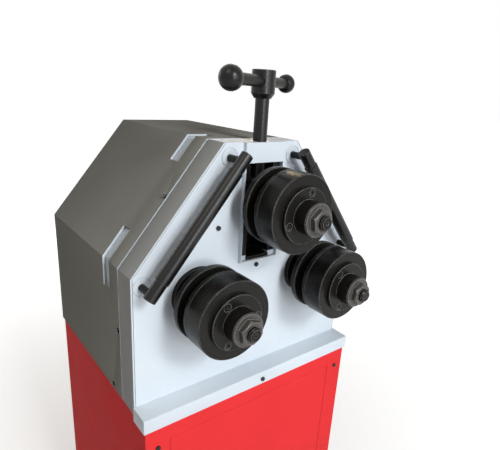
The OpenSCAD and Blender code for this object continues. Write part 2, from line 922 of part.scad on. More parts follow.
module nut_bridge() {
    color(LIGHT_GREY) on_head() difference() {
        block([-channel_half, -channel_out, bridge_low], [channel_half, bridge_d, head_top]);
        translate([0, screw_back, 0]) {
            translate([0, 0, bridge_low - past])
                cylinder(h = bridge_h + 2 * past, r = nut_r + seat_fit, $fn = FN);
            translate([0, 0, bridge_low - past])
                cylinder(h = nut_flange_t + past, r = nut_flange_r + seat_fit, $fn = FN);
        }
    }
}

module feed_nut() {
    color(BRONZE) on_screw() {
        rotate_extrude($fn = FN) polygon([
            [screw_r + turn_fit, bridge_low], [nut_flange_r, bridge_low],
            [nut_flange_r, bridge_low + nut_flange_t], [nut_r, bridge_low + nut_flange_t],
            [nut_r, head_top], [screw_r + turn_fit, head_top]
        ]);
    }
}

// Block that carries the upper shaft: front flange, body between the rails, and the boss round the bush
module slide_block() {
    color(BLACKENED) on_head() difference() {
        union() {
            block(
                [-flange_half, -channel_out, block_low],
                [flange_half, -channel_out + flange_d, block_high]
            );
            block([-block_half, -channel_out + past, block_low], [block_half, keeper_back, block_high]);
            translate([0, 0, upper_rise]) hole_y(block_boss_r, bush_front, 0);
        }
        translate([0, 0, upper_rise]) hole_y(bush_r + seat_fit, bush_front + past, -keeper_back - past);
        translate([0, screw_back, block_high - pivot_l])
            cylinder(h = pivot_l + past, r = pivot_r + turn_fit, $fn = FN);
    }
}

// Keeper plate behind the rails, and the cap that holds the screw's collar down
module slide_caps() {
    collar_top = block_high + thrust_t + 2 * slide_play;
    color(BRIGHT_STEEL) on_head() {
        difference() {
            block(
                [-flange_half, keeper_back, block_low + keeper_in],
                [flange_half, keeper_back + keeper_t, block_high - keeper_in]
            );
            translate([0, 0, upper_rise])
                hole_y(bush_r + seat_fit, -keeper_back + past, -keeper_back - keeper_t - past);
        }
        difference() {
            block(
                [-thrust_cap_half, screw_back - nut_flange_r, block_high],
                [thrust_cap_half, screw_back + nut_flange_r, collar_top + thrust_cap_t]
            );
            translate([0, screw_back, block_high - past])
                cylinder(h = collar_top - block_high + past, r = thrust_r + free_gap, $fn = FN);
            translate([0, screw_back, block_high])
                cylinder(h = 2 * thrust_cap_t + thrust_t, r = screw_r + free_gap, $fn = FN);
        }
    }
}

module upper_bush() {
    color(BRONZE) on_upper() turned([
        [shaft_r + turn_fit, -keeper_back - keeper_t], [bush_r, -keeper_back - keeper_t],
        [bush_r, bush_front], [shaft_r + turn_fit, bush_front]
    ], FN);
}

// Feed screw, hub and handle
module feed_screw() {
    z0 = block_high - pivot_l + turn_fit;
    z1 = block_high + slide_play;
    color(BLACKENED) on_screw() rotate_extrude($fn = FN) polygon([
        [0, z0], [pivot_r, z0], [pivot_r, z1], [thrust_r, z1], [thrust_r, z1 + thrust_t],
        [screw_r, z1 + thrust_t], [screw_r, hub_low + hub_seat - past], [0, hub_low + hub_seat - past]
    ]);
}

module screw_hub() {
    color(BLACKENED) on_screw() difference() {
        rotate_extrude($fn = FN) polygon([
            [0, hub_low], [hub_neck_r, hub_low], [hub_r, hub_low + hub_chamfer],
            [hub_r, hub_low + hub_h - hub_edge], [hub_r - hub_edge, hub_low + hub_h], [0, hub_low + hub_h]
        ]);
        translate([0, 0, hub_low - past]) cylinder(h = hub_seat + past, r = screw_r + seat_fit, $fn = FN);
        translate([0, 0, bar_z]) rotate([0, 0, bar_turn]) rotate([0, 90, 0])
            cylinder(h = 3 * hub_r, r = bar_r + seat_fit, center = true, $fn = FN);
    }
}

module handle_bar() {
    color(BLACKENED) on_screw() translate([0, 0, bar_z]) rotate([0, 0, bar_turn]) rotate([0, 90, 0])
        cylinder(h = 2 * (bar_half + ball_seat), r = bar_r, center = true, $fn = FN);
}

module ball_knobs() {
    color(BLACKENED) on_screw() translate([0, 0, bar_z]) for (side = [0, 180])
        rotate([0, 0, bar_turn + side]) translate([bar_half, 0, 0]) difference() {
            sphere(r = ball_r, $fn = FN);
            rotate([0, -90, 0]) translate([0, 0, -ball_seat])
                cylinder(h = 2 * ball_r, r = bar_r + seat_fit, $fn = FN);
            translate([-ball_r - past, -ball_r, -ball_r]) cube([past + ball_flat, 2 * ball_r, 2 * ball_r]);
        }
}

// Guide bars: a rod on two posts, and a sleeve that turns on the rod
module along_slant() {
    p = slant_point(-rod_past, rod_inset);
    on_head() translate([p[0], -rod_out, p[1]]) rotate([0, 90 + slope, 0]) children();
}
module guide_posts() {
    color(BLACKENED) on_head() both_sides() for (s = post_s)
        let (p = slant_point(s, rod_inset))
            translate([p[0], 0, p[1]]) hole_y(post_r, rod_out, -post_sink + turn_fit);
}
module one_rod() {
    difference() {
        rotate_extrude($fn = FN) polygon([
            [0, 0], [rod_r - rod_chamfer, 0], [rod_r, rod_chamfer], [rod_r, sleeve_end],
            [rod_core_r, sleeve_end], [rod_core_r, sleeve_stop], [rod_r, sleeve_stop],
            [rod_r, rod_l - rod_chamfer], [rod_r - rod_chamfer, rod_l], [0, rod_l]
        ]);
        for (s = post_s) translate([0, 0, s + rod_past]) rotate([-90, 0, 0])
            cylinder(h = rod_r + past, r = post_r + seat_fit, $fn = FN);
    }
}
module guide_rods() { color(BLACKENED) both_sides() along_slant() one_rod(); }
module one_sleeve() {
    ring_z(rod_core_r + turn_fit, sleeve_r, sleeve_end + slide_play, sleeve_stop - slide_play);
}
module right_guide_sleeve() { color(BLACKENED) along_slant() one_sleeve(); }
module left_guide_sleeve() { color(BLACKENED) mirror([1, 0, 0]) along_slant() one_sleeve(); }

// Bearings
module bearing(bore, r) { turned([[bore, 0], [r, 0], [r, bearing_w], [bore, bearing_w]]); }
module bearings() {
    color(BRIGHT_STEEL) on_head() {
        both_sides() translate([roller_half, 0, 0]) {
            translate([0, bearing_w + 1, 0]) bearing(journal_r + turn_fit, front_bearing_r);
            translate([0, rear_face + bearing_w + 1, 0]) bearing(shaft_r + turn_fit, rear_bearing_r);
        }
        translate([0, plate_t, -pinion_drop]) bearing(pinion_shaft_r + turn_fit, pinion_bearing_r);
        translate([0, rear_face + bearing_w + 1, -pinion_drop])
            bearing(pinion_shaft_r + turn_fit, pinion_bearing_r);
    }
}
module bearing_caps() {
    color(BLACKENED) on_head() both_sides() translate([roller_half, 0, 0]) difference() {
        turned([
            [journal_r + free_gap, 0], [cap_r, 0], [cap_r, cap_t], [block_boss_r, cap_t],
            [block_boss_r, collar_front - free_gap], [journal_r + free_gap, collar_front - free_gap]
        ]);
        cap_screw_places() screw_hole(cap_shank_l);
    }
}

// Roller parts, shared by the three rollers
module roller_discs() {
    turned(disc_profile(shaft_r + seat_fit, roller_r, disc_front, rear_disc_t, disc_chamfer));
    turned(disc_profile(shaft_r + seat_fit, roller_r, ring_front, ring_t, disc_chamfer));
}
module roller_spacer() {
    turned(disc_profile(shaft_r + seat_fit, spacer_r, disc_front + rear_disc_t, spacer_t, disc_chamfer / 2));
}
module hub_screw_places(turn) {
    for (i = [0:2]) rotate([0, -turn - third * i, 0]) translate([hub_screw_pitch, 0, 0])
        facing_front(0, -boss_front + hub_sink, 0) children();
}
module hub_screw_hole() {
    translate([0, 0, -hub_shank_l]) cylinder(h = 2 * hub_shank_l, r = hub_hole_r, $fn = FN_SMALL);
}
module roller_wheel(turn) {
    difference() {
        turned(disc_profile(shaft_r + seat_fit, roller_r, wheel_front, wheel_t, disc_chamfer));
        hub_screw_places(turn) hub_screw_hole();
    }
}
module clamp_hub(turn) {
    bore = shaft_r + seat_fit;
    difference() {
        turned([
            [bore, flange_front], [flange_r, flange_front], [flange_r, boss_front - 0.8],
            [flange_r - 0.8, boss_front], [boss_r, boss_front], [boss_r, washer_front - 0.5],
            [boss_r - 0.5, washer_front], [bore, washer_front]
        ]);
        hub_screw_places(turn) {
            hub_screw_hole();
            cylinder(h = 2 * hub_sink, r = hub_screw_r + 0.3, $fn = FN_SMALL);
        }
    }
}
module hub_screws(turn) {
    hub_screw_places(turn) socket_screw(hub_screw_r, hub_sink, hub_shank_r, hub_shank_l - 1);
}
module shaft_nut(turn) {
    seat = nut_front + seat_fit;
    nut_corner = nut_af / sqrt(3) + past;
    turned([
        [thread_r + free_gap, washer_front], [washer_r, washer_front], [washer_r, nut_front - 0.7],
        [washer_r - 0.7, nut_front], [thread_r + free_gap, nut_front]
    ]);
    intersection() {
        rotate([0, -turn, 0]) rotate([90, 0, 0]) translate([0, 0, seat]) difference() {
            cylinder(h = nut_t, r = nut_af / sqrt(3), $fn = 6);
            translate([0, 0, -past]) cylinder(h = nut_t + 2 * past, r = thread_r + seat_fit, $fn = FN);
        }
        turned([
            [0, nut_front], [nut_corner, nut_front], [nut_corner, thread_front - nut_crown],
            [nut_af / 2 - nut_land, thread_front], [0, thread_front]
        ]);
    }
}
// Front end of every roller shaft: collar, seat of the discs, thread and centre mark
function shaft_front() = [
    [collar_r, collar_front], [collar_r, disc_front], [shaft_r, disc_front], [shaft_r, washer_front - 1],
    [thread_r, washer_front - 1], [thread_r, stub_front - stub_chamfer],
    [thread_r - stub_chamfer, stub_front], [mark_r, stub_front], [0, stub_front - mark_d]
];
module lower_shaft() {
    difference() {
        turned(concat([
            [0, -case_end], [shaft_r, -case_end], [shaft_r, -gear_front - gear_w - 4],
            [journal_r, -gear_front - gear_w - 4], [journal_r, collar_front]
        ], shaft_front()));
        key_slot();
    }
}
module upper_turned_shaft() {
    turned(concat(
        [[0, -upper_shaft_back], [shaft_r, -upper_shaft_back], [shaft_r, collar_front]],
        shaft_front()
    ));
    turned([
        [shaft_r, -upper_shaft_back + clip_t], [clip_r, -upper_shaft_back + clip_t],
        [clip_r, -upper_shaft_back + 2 * clip_t], [shaft_r, -upper_shaft_back + 2 * clip_t]
    ], FN);
}

module left_shaft() { color(BLACKENED) on_left() lower_shaft(); }
module left_discs() { color(BLACKENED) on_left() roller_discs(); }
module left_spacer() { color(BLACKENED) on_left() roller_spacer(); }
module left_wheel() { color(BLACKENED) on_left() roller_wheel(left_turn); }
module left_clamp_hub() { color(BLACKENED) on_left() clamp_hub(left_turn); }
module left_hub_screws() { color(BLACKENED) on_left() hub_screws(left_turn); }
module left_nut() { color(BLACKENED) on_left() shaft_nut(left_nut_turn); }

module right_shaft() { color(BLACKENED) on_right() lower_shaft(); }
module right_discs() { color(BLACKENED) on_right() roller_discs(); }
module right_spacer() { color(BLACKENED) on_right() roller_spacer(); }
module right_wheel() { color(BLACKENED) on_right() roller_wheel(right_turn); }
module right_clamp_hub() { color(BLACKENED) on_right() clamp_hub(right_turn); }
module right_hub_screws() { color(BLACKENED) on_right() hub_screws(right_turn); }
module right_nut() { color(BLACKENED) on_right() shaft_nut(right_nut_turn); }

module upper_shaft() { color(BLACKENED) on_upper() upper_turned_shaft(); }
module upper_discs() { color(BLACKENED) on_upper() roller_discs(); }
module upper_spacer() { color(BLACKENED) on_upper() roller_spacer(); }
module upper_wheel() { color(BLACKENED) on_upper() roller_wheel(upper_turn); }
module upper_clamp_hub() { color(BLACKENED) on_upper() clamp_hub(upper_turn); }
module upper_hub_screws() { color(BLACKENED) on_upper() hub_screws(upper_turn); }
module upper_nut() { color(BLACKENED) on_upper() shaft_nut(upper_nut_turn); }

// Gears: involute flanks, with half of the play taken off each tooth
function polar(r, a) = [r * cos(a), r * sin(a)];
function involute(a) = tan(a) * 180 / PI - a;
function half_tooth(r, teeth, base) =
    90 / teeth - 90 * tooth_play / (PI * gear_module * teeth / 2)
    + involute(pressure) - involute(acos(min(1, base / r)));
function gear_points(teeth) =
    let (
        base = gear_module * teeth * cos(pressure) / 2,
        tip = gear_module * (teeth + 2) / 2,
        root = gear_module * (teeth - 2.5) / 2,
        start = max(base, root),
        radii = [for (i = [0:flank_steps]) start + (tip - start) * i / flank_steps]
    )
    [for (k = [0:teeth - 1]) let (mid = 360 * k / teeth) each concat(
        [polar(root, mid - half_tooth(start, teeth, base) - root_land)],
        [for (r = radii) polar(r, mid - half_tooth(r, teeth, base))],
        [for (i = [flank_steps:-1:0]) polar(radii[i], mid + half_tooth(radii[i], teeth, base))],
        [polar(root, mid + half_tooth(start, teeth, base) + root_land)]
    )];
// A gap of the pinion faces the left gear; this is the tooth angle of the pinion
pinion_phase = 180 - pinion_angle + 180 / pinion_teeth;
// Tooth angle of a gear that lies at angle a from the pinion
function gear_phase(a) = a + 180 - (pinion_phase - a) * pinion_teeth / gear_teeth + 180 / gear_teeth;

module key_slot() {
    block(
        [-key_w / 2 - seat_fit, key_front - seat_fit, journal_r - key_h / 2 - seat_fit],
        [key_w / 2 + seat_fit, key_front + key_l + seat_fit, journal_r + key_h / 2 + seat_fit]
    );
}
module shaft_gear(phase) {
    difference() {
        slab(gear_front, gear_front + gear_w) rotate(phase) difference() {
            polygon(gear_points(gear_teeth));
            circle(r = journal_r + seat_fit, $fn = FN_LARGE);
            for (a = [30:60:330]) rotate(a - phase)
                translate([light_hole_pitch, 0]) circle(r = light_hole_r, $fn = FN);
        }
        translate([0, -past, 0]) block(
            [-key_w / 2 - seat_fit, gear_front, 0],
            [key_w / 2 + seat_fit, gear_front + gear_w + 2 * past, journal_r + key_h / 2 + seat_fit]
        );
    }
    block(
        [-key_w / 2, key_front, journal_r - key_h / 2],
        [key_w / 2, key_front + key_l, journal_r + key_h / 2]
    );
    turned([
        [journal_r + turn_fit, -gear_front + turn_fit], [journal_r + sleeve_wall, -gear_front + turn_fit],
        [journal_r + sleeve_wall, -bearing_w - 1.2], [journal_r + turn_fit, -bearing_w - 1.2]
    ], FN);
}
module left_gear() { color(BRIGHT_STEEL) on_left() shaft_gear(gear_phase(180 - pinion_angle)); }
module right_gear() { color(BRIGHT_STEEL) on_right() shaft_gear(gear_phase(pinion_angle)); }

module drive_pinion() {
    color(BRIGHT_STEEL) on_pinion() {
        slab(pinion_front, pinion_front + pinion_w) rotate(pinion_phase) polygon(gear_points(pinion_teeth));
        hole_y(pinion_shaft_r, -plate_t + bearing_w - 1, -reducer_back + 10);
    }
}

// Worm reducer with its output flange against the rear bearing plate
module reducer() {
    color(MOTOR_GREY) on_pinion() difference() {
        union() {
            hole_y(reducer_neck_r, -case_end, -reducer_front);
            hole_y(reducer_r, -reducer_front, -reducer_back, FN_LARGE);
            translate([worm_offset, worm_y, worm_flange_z + pinion_drop])
                cylinder(h = 2 * worm_drop, r = worm_r, $fn = FN);
            translate([worm_offset, worm_y, motor_top + pinion_drop])
                cylinder(h = worm_flange_t, r = motor_r, $fn = FN_LARGE);
            block([0, worm_y - worm_r, -reducer_web], [worm_offset, worm_y + worm_r, reducer_web]);
        }
        hole_y(pinion_shaft_r + turn_fit, -case_end + past, -reducer_back - past);
    }
}

// Finned motor, its fan cover, and the terminal box on a flat of the body
module motor() {
    color(MOTOR_GREY) on_head() translate([worm_offset, worm_y, 0]) {
        difference() {
            translate([0, 0, motor_low]) linear_extrude(motor_top - motor_low) {
                circle(r = fin_root, $fn = FN_LARGE);
                for (i = [0:fin_count - 1]) rotate(360 * i / fin_count)
                    translate([fin_root - past, -fin_t / 2]) square([fin_h + past, fin_t]);
            }
            block(
                [terminal_seat, -terminal_w / 2 - seat_fit, terminal_top - terminal_h - seat_fit],
                [motor_r + past, terminal_w / 2 + seat_fit, terminal_top + seat_fit]
            );
        }
        translate([0, 0, fan_low]) cylinder(h = fan_l - seat_fit, r = motor_r, $fn = FN_LARGE);
        block(
            [terminal_seat + seat_fit, -terminal_w / 2, terminal_top - terminal_h],
            [motor_r + terminal_out, terminal_w / 2, terminal_top]
        );
    }
}

// Control box at the right-hand side, with its lid, and the cable gland in its rear wall
module control_box() {
    x0 = head_half;
    x1 = control_face - control_wall;
    y0 = control_back;
    y1 = control_back + control_w;
    z0 = -control_drop - control_h / 2;
    z1 = -control_drop + control_h / 2;
    color(COVER_GREY) on_head() {
        difference() {
            block([x0, y0, z0], [x1, y1, z1]);
            block(
                [x0 + control_wall, y0 + control_wall, z0 + control_wall],
                [x1 + past, y1 - control_wall, z1 - control_wall]
            );
            translate([gland_x, 0, gland_z])
                hole_y(gland_r + seat_fit, past - y1 + control_wall, -past - y1);
        }
        difference() {
            block([x1, y0, z0], [control_face, y1, z1]);
            for (z = [switch_z, stop_z]) translate([x1 - past, control_mid_y, z]) rotate([0, 90, 0])
                cylinder(h = control_wall + 2 * past, r = control_shaft_r + turn_fit, $fn = FN);
        }
        translate([gland_x, y1, gland_z]) difference() {
            union() {
                hole_y(gland_r, gland_in, -gland_out);
                hole_y(gland_af_r, 0, -gland_out / 2, 6);
            }
            hole_y(gland_bore_r, gland_in + past, -gland_out - past);
        }
    }
}
module direction_switch() {
    color(BLACKENED) on_head() translate([control_face, control_mid_y, switch_z]) rotate([0, 90, 0]) {
        translate([0, 0, -control_shaft_l]) cylinder(h = control_shaft_l, r = control_shaft_r, $fn = FN);
        translate([0, 0, turn_fit]) {
            cylinder(h = knob_h, r = knob_r, $fn = FN);
            block([-pointer_up, -pointer_w / 2, 0], [pointer_down, pointer_w / 2, knob_h + pointer_h]);
        }
    }
}
module stop_button() {
    edge = stop_travel_gap + stop_head_h / 2;
    color(STAND_RED) on_head() translate([control_face, control_mid_y, stop_z]) rotate([0, 90, 0]) {
        translate([0, 0, -control_shaft_l])
            cylinder(h = control_shaft_l + stop_travel_gap + 1, r = control_shaft_r, $fn = FN);
        rotate_extrude($fn = FN) polygon([
            [0, stop_travel_gap], [stop_neck_r, stop_travel_gap], [stop_r, edge],
            [stop_r - 1, edge + 5], [stop_neck_r, edge + 7.5], [0, stop_travel_gap + stop_head_h]
        ]);
    }
}

module fasteners() {
    color(BLACKENED) {
        on_head() {
            plate_screw_places() cover_screw();
            step_screw_place() cover_screw();
            hood_screw_places() cover_screw();
            back_screw_places() cover_screw();
            both_sides() translate([roller_half, 0, 0]) cap_screw_places()
                socket_screw(cap_screw_r, cap_screw_h, shank_r, cap_shank_l);
        }
        panel_screw_places() cover_screw();
    }
}

base_frame();
stand_shell();
carrier_plate();
service_panel();
stand_door();
door_hinges();
door_latch();
front_step();
front_plate();
side_bands();
gear_case();
rear_plate();
hood();
slide_channel();
guide_rails();
nut_bridge();
feed_nut();
guide_posts();
guide_rods();
left_guide_sleeve();
right_guide_sleeve();
bearing_caps();
bearings();
reducer();
motor();
control_box();
direction_switch();
stop_button();
fasteners();
slide_block();
slide_caps();
upper_bush();
feed_screw();
screw_hub();
handle_bar();
ball_knobs();
left_gear();
right_gear();
drive_pinion();
left_shaft();
left_discs();
left_spacer();
left_wheel();
left_clamp_hub();
left_hub_screws();
left_nut();
right_shaft();
right_discs();
right_spacer();
right_wheel();
right_clamp_hub();
right_hub_screws();
right_nut();
upper_shaft();
upper_discs();
upper_spacer();
upper_wheel();
upper_clamp_hub();
upper_hub_screws();
upper_nut();
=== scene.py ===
import json
import math

import bmesh
import bpy
from mathutils import Matrix, Vector


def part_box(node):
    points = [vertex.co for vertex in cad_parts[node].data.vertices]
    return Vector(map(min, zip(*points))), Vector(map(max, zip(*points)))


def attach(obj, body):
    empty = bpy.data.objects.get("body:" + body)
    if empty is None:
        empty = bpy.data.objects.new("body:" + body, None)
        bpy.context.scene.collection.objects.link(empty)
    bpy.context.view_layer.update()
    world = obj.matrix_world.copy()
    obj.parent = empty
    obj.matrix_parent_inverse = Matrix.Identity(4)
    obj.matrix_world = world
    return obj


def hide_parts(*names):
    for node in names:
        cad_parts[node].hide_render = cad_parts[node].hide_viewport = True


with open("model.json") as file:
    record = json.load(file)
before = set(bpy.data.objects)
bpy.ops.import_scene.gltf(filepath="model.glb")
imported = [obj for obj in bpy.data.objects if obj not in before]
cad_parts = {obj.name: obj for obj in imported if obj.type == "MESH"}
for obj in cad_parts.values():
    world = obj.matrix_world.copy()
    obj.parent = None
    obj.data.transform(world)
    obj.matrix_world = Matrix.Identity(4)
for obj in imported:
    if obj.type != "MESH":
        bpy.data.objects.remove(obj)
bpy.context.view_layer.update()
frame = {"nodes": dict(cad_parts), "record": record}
nodes = frame["nodes"]
record = frame["record"]
body_of_node = {node: body for body, owned in record["behaviour"]["bodies"].items() for node in owned}
joint_axis = {joint["name"]: Vector(joint["axis"]) for joint in record["behaviour"]["joints"]}


def middle(node):
    """The middle of a node's box, which for a turned piece lies on its axis."""
    low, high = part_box(node)
    return (low + high) / 2


# Camera, solved from the photograph. Its place is measured from the front plate's face and the lower axes.
CAMERA_FROM_HEAD = Vector((-0.48986, -0.59279, 0.33913))
AZIMUTH = math.radians(39.358)
PITCH = math.radians(18.551)
ROLL = math.radians(3.732)
FRAME_PX = (500, 450)
FOCAL_PX = 446.53
CENTRE_PX = (255.97, 237.64)
SENSOR_MM = 36
NEAREST, FARTHEST = 0.02, 60

head_at = Vector((0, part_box("front_plate")[0].y, middle("left_wheel").z))
forward = Vector((
    math.sin(AZIMUTH) * math.cos(PITCH), math.cos(AZIMUTH) * math.cos(PITCH), -math.sin(PITCH),
))
level = Vector((math.cos(AZIMUTH), -math.sin(AZIMUTH), 0))
upright = level.cross(forward)
right = level * math.cos(ROLL) + upright * math.sin(ROLL)
up = upright * math.cos(ROLL) - level * math.sin(ROLL)

camera_data = bpy.data.cameras.new("camera")
camera_data.sensor_width = SENSOR_MM
camera_data.lens = FOCAL_PX * SENSOR_MM / FRAME_PX[0]
camera_data.shift_x = -(CENTRE_PX[0] - FRAME_PX[0] / 2) / FRAME_PX[0]
camera_data.shift_y = (CENTRE_PX[1] - FRAME_PX[1] / 2) / FRAME_PX[0]
camera_data.clip_start, camera_data.clip_end = NEAREST, FARTHEST
camera = bpy.data.objects.new("camera", camera_data)
turn = Matrix((right, up, -forward)).transposed().to_4x4()
camera.matrix_world = Matrix.Translation(head_at + CAMERA_FROM_HEAD) @ turn
bpy.context.scene.collection.objects.link(camera)
bpy.context.scene.camera = camera
bpy.context.scene.view_settings.view_transform = "Standard"

# How far the rounded normal and the flat one agree where wear along an edge starts, and where it is full
EDGE_STARTS, EDGE_FULL = 0.995, 0.86


class Shader:
    """A material under construction: short names for the nodes it is made of."""

    def __init__(self, name):
        self.material = bpy.data.materials.new(name)
        self.material.use_nodes = True
        self.tree = self.material.node_tree
        self.tree.nodes.clear()
        self.bsdf = self.add("ShaderNodeBsdfPrincipled")
        self.tree.links.new(self.bsdf.outputs[0], self.add("ShaderNodeOutputMaterial").inputs[0])
        self.place = self.add("ShaderNodeTexCoord").outputs["Object"]

    def add(self, kind, **settings):
        """A node with its settings."""
        node = self.tree.nodes.new(kind)
        for key, value in settings.items():
            setattr(node, key, value)
        return node

    def put(self, socket, value):
        """Link a socket, or set its value."""
        if isinstance(value, bpy.types.NodeSocket):
            self.tree.links.new(value, socket)
        else:
            socket.default_value = value

    def math(self, operation, a, b=0.0):
        node = self.add("ShaderNodeMath", operation=operation)
        self.put(node.inputs[0], a)
        self.put(node.inputs[1], b)
        return node.outputs[0]

    def vector(self, operation, a, b=None, scale=None):
        node = self.add("ShaderNodeVectorMath", operation=operation)
        self.put(node.inputs[0], a)
        if b is not None:
            self.put(node.inputs[1], b)
        if scale is not None:
            self.put(node.inputs["Scale"], scale)
        return node.outputs["Value" if operation in ("LENGTH", "DOT_PRODUCT") else "Vector"]

    def noise(self, scale, detail=2.0, at=None, roughness=0.5):
        node = self.add("ShaderNodeTexNoise")
        self.put(node.inputs["Vector"], at or self.place)
        self.put(node.inputs["Scale"], scale)
        self.put(node.inputs["Detail"], detail)
        self.put(node.inputs["Roughness"], roughness)
        return node.outputs["Fac"]

    def spread(self, value, from_low, from_high, to_low=0.0, to_high=1.0):
        """Map a range of a value to another range, clamped."""
        node = self.add("ShaderNodeMapRange")
        for socket, v in zip(node.inputs, (value, from_low, from_high, to_low, to_high)):
            self.put(socket, v)
        return node.outputs[0]

    def blend(self, share, a, b):
        node = self.add("ShaderNodeMix", data_type="RGBA")
        self.put(node.inputs[0], share)
        for socket, value in ((node.inputs[6], a), (node.inputs[7], b)):
            self.put(socket, value if isinstance(value, bpy.types.NodeSocket) else (*value, 1.0))
        return node.outputs[2]

    def edges(self, width):
        """Rounded normals, and a mask that is 1 along sharp edges, where the two normals part."""
        rounded = self.add("ShaderNodeBevel", samples=6)
        self.put(rounded.inputs["Radius"], width)
        flat = self.add("ShaderNodeNewGeometry").outputs["Normal"]
        agree = self.vector("DOT_PRODUCT", rounded.outputs[0], flat)
        return rounded.outputs[0], self.spread(agree, EDGE_STARTS, EDGE_FULL)

    def bump(self, height, depth, normal):
        node = self.add("ShaderNodeBump")
        self.put(node.inputs["Strength"], 1.0)
        self.put(node.inputs["Distance"], depth)
        self.put(node.inputs["Height"], height)
        self.put(node.inputs["Normal"], normal)
        return node.outputs[0]

    def finish(self, colour, roughness, normal, metallic=0.0, shine=0.5):
        """Set the surface and return the material."""
        self.put(self.bsdf.inputs["Base Color"], colour)
        self.put(self.bsdf.inputs["Roughness"], roughness)
        self.put(self.bsdf.inputs["Normal"], normal)
        self.put(self.bsdf.inputs["Metallic"], metallic)
        self.put(self.bsdf.inputs["Specular IOR Level"], shine)
        return self.material


# Widths of worn edges, in metres; on metal the edge band is also a painted highlight
PAINT_EDGE, METAL_EDGE = 0.0012, 0.0010
# Tool marks per metre, out from an axis and along it, and grain of a ground face
RINGS_OUT, RINGS_ALONG = 1400.0, 1100.0
GROUND_GRAIN = (900.0, 900.0, 60.0)
OIL_TINT = (1.35, 1.15, 0.85)


def scaled(colour, k):
    """A colour times a factor, kept below white."""
    return tuple(min(1.0, c * k) for c in colour)


def paint(name, colour, roughness, grain, grain_depth, wear, bare, shine=0.25):
    """Powder coat: cloudy tone, specks, fine grain, smudges, and edges rubbed to a bare colour."""
    s = Shader(name)
    clouds = s.spread(s.noise(5, 4), 0.3, 0.7)
    specks = s.spread(s.noise(420, 2), 0.35, 0.65)
    tone = s.blend(clouds, scaled(colour, 0.955), scaled(colour, 1.035))
    tone = s.blend(s.math("MULTIPLY", specks, 0.10), tone, scaled(colour, 0.8))
    normal, edge = s.edges(PAINT_EDGE)
    rubbed = s.math("MULTIPLY", edge, s.spread(s.noise(45, 5), 0.47, 0.62))
    tone = s.blend(s.math("MULTIPLY", rubbed, wear), tone, bare)
    smudge = s.spread(s.noise(11, 6, roughness=0.62), 0.45, 0.75)
    gloss = s.math("ADD", roughness, s.math("MULTIPLY", smudge, 0.10))
    gloss = s.math("ADD", gloss, s.math("MULTIPLY", specks, 0.05))
    normal = s.bump(s.noise(grain, 3), grain_depth, normal)
    return s.finish(tone, gloss, normal, shine=shine)


def unmirrored(s):
    """The place with its X made positive, so that one axis serves pieces on both sides."""
    split = s.add("ShaderNodeSeparateXYZ")
    join = s.add("ShaderNodeCombineXYZ")
    s.put(split.inputs[0], s.place)
    s.put(join.inputs[0], s.math("ABSOLUTE", split.outputs[0]))
    for i in (1, 2):
        s.put(join.inputs[i], split.outputs[i])
    return join.outputs[0]


def turned_marks(s, at, centre, axis):
    """Texture place for tool marks that run round an axis: it changes with the radius and along the axis."""
    away = s.vector("SUBTRACT", at, tuple(centre))
    along = s.vector("DOT_PRODUCT", away, tuple(axis))
    radial = s.vector("SUBTRACT", away, s.vector("SCALE", tuple(axis), scale=along))
    rings = s.add("ShaderNodeCombineXYZ")
    s.put(rings.inputs[0], s.math("MULTIPLY", s.vector("LENGTH", radial), RINGS_OUT))
    s.put(rings.inputs[1], s.math("MULTIPLY", along, RINGS_ALONG))
    return rings.outputs[0]


def machined(name, colour, roughness, bright, wear, centre=None, axis=(0, 1, 0), mirrored=False,
             metallic=0.0, shine=0.14, line_depth=0.00002, grain_depth=0.00003):
    """Machined metal, its edges lightened as wear and as a painted highlight. With a centre, the tool marks
    run round an axis there; without one it is ground.
    """
    s = Shader(name)
    at = unmirrored(s) if mirrored else s.place
    if centre is None:
        grain = s.vector("MULTIPLY", at, GROUND_GRAIN)
    else:
        grain = turned_marks(s, at, centre, axis)
    lines = s.noise(1.0, 3, at=grain, roughness=0.6)
    oil = s.spread(s.noise(24, 4), 0.35, 0.7)
    oiled = tuple(c * k for c, k in zip(colour, OIL_TINT))
    tone = s.blend(s.spread(lines, 0.3, 0.7), scaled(colour, 0.78), scaled(colour, 1.2))
    tone = s.blend(s.math("MULTIPLY", oil, 0.35), tone, oiled)
    normal, edge = s.edges(METAL_EDGE)
    # Edges take the bright colour as wear and as a painted highlight along rims and chamfers; the noise only
    # dims it to 0.6, so the line stays unbroken
    edge_wear_and_highlight = s.math("MULTIPLY", edge, s.spread(s.noise(90, 4), 0.38, 0.6, 0.6, 1.0))
    tone = s.blend(s.math("MULTIPLY", edge_wear_and_highlight, wear), tone, bright)
    gloss = s.math("ADD", roughness - 0.05, s.math("MULTIPLY", s.spread(lines, 0.25, 0.75), 0.10))
    gloss = s.math("ADD", gloss, s.math("MULTIPLY", oil, -0.06))
    normal = s.bump(lines, line_depth, normal)
    normal = s.bump(s.noise(160, 3), grain_depth, normal)
    return s.finish(tone, gloss, normal, metallic=metallic, shine=shine)


# Base colours
RED = (0.83, 0.042, 0.046)
RED_RUBBED = (0.62, 0.16, 0.13)
LIGHT = (0.715, 0.770, 0.83)
LIGHT_RUBBED = (0.93, 0.93, 0.92)
COVER = (0.32, 0.313, 0.288)
COVER_RUBBED = (0.46, 0.45, 0.42)
BAND = (0.40, 0.40, 0.395)
BAND_RUBBED = (0.50, 0.50, 0.49)
FRAME_BLACK = (0.022, 0.022, 0.024)
CASTING = (0.12, 0.145, 0.18)
PRIMER = (0.52, 0.50, 0.47)
BLACK = (0.0095, 0.0090, 0.0083)
OILED = (0.0050, 0.0047, 0.0044)
PHENOLIC = (0.004, 0.0039, 0.0038)
PHENOLIC_RUBBED = (0.05, 0.05, 0.05)
